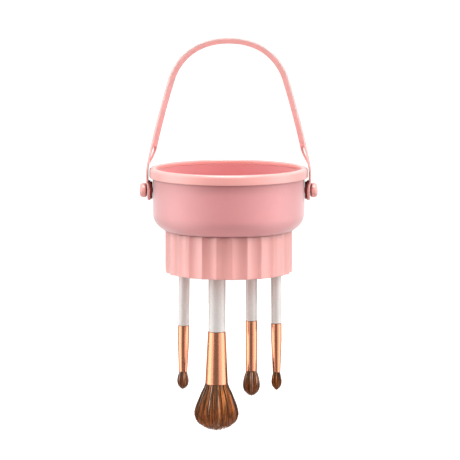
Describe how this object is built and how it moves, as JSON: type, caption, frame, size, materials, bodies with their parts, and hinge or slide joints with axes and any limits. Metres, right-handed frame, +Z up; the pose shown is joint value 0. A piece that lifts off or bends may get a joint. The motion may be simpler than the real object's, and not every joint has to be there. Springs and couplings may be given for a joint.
{
  "type": "makeup brush cleaner",
  "caption": "Pink washing bowl on a pivoting bail handle, with a textured mat inside and a fluted drying collar below that grips makeup brushes head down.",
  "frame": {"origin": "underside of the bail's arch at mid-width, where a hook or a hand holds it", "axes": "+Z up; +X along the bail's pivot axis, to the right seen from the front; the front is -Y"},
  "size_m": [0.1304, 0.116, 0.2883],
  "materials": {
    "hard_pink": "satin moulded plastic",
    "soft_pink": "matte silicone",
    "mat_pink": "matte silicone",
    "washer": "moulded plastic",
    "white_handle": "white lacquer with a soft sheen",
    "copper_ferrule": "polished copper plate",
    "bristle": "brown hair"
  },
  "bodies": {
    "bail": {"bail_handle": "hard_pink"},
    "bowl": {"bowl_shell": "soft_pink", "rim_ring": "hard_pink", "fluted_collar": "hard_pink", "brush_grip_disc": "mat_pink", "left_pivot_knob": "hard_pink", "left_pivot_washer": "washer", "left_pivot_cap": "hard_pink", "right_pivot_knob": "hard_pink", "right_pivot_washer": "washer", "right_pivot_cap": "hard_pink"},
    "mat": {"cleaning_mat": "mat_pink"},
    "shadow_brush": {"shadow_brush_handle": "white_handle", "shadow_brush_ferrule": "copper_ferrule", "shadow_brush_bristles": "bristle"},
    "powder_brush": {"powder_brush_handle": "white_handle", "powder_brush_ferrule": "copper_ferrule", "powder_brush_bristles": "bristle"},
    "blending_brush": {"blending_brush_handle": "white_handle", "blending_brush_ferrule": "copper_ferrule", "blending_brush_bristles": "bristle"},
    "pencil_brush": {"pencil_brush_handle": "white_handle", "pencil_brush_ferrule": "copper_ferrule", "pencil_brush_bristles": "bristle"}
  },
  "joints": [
    {"name": "bail_swing", "type": "hinge", "parent": "bail", "child": "bowl", "pos_m": [0, 0, -0.1088], "axis": [1, 0, 0], "range_deg": [-115, 115]},
    {"name": "mat_lift", "type": "slide", "parent": "bowl", "child": "mat", "axis": [0, 0, 1], "range_m": [0, 0.05]},
    {"name": "shadow_brush_pull", "type": "slide", "parent": "bowl", "child": "shadow_brush", "axis": [-0.014, 0, -0.9999], "range_m": [0, 0.03]},
    {"name": "powder_brush_pull", "type": "slide", "parent": "bowl", "child": "powder_brush", "axis": [-0.0052, 0, -1], "range_m": [0, 0.03]},
    {"name": "blending_brush_pull", "type": "slide", "parent": "bowl", "child": "blending_brush", "axis": [0, 0, -1], "range_m": [0, 0.03]},
    {"name": "pencil_brush_pull", "type": "slide", "parent": "bowl", "child": "pencil_brush", "axis": [0.007, 0, -1], "range_m": [0, 0.03]}
  ]
}
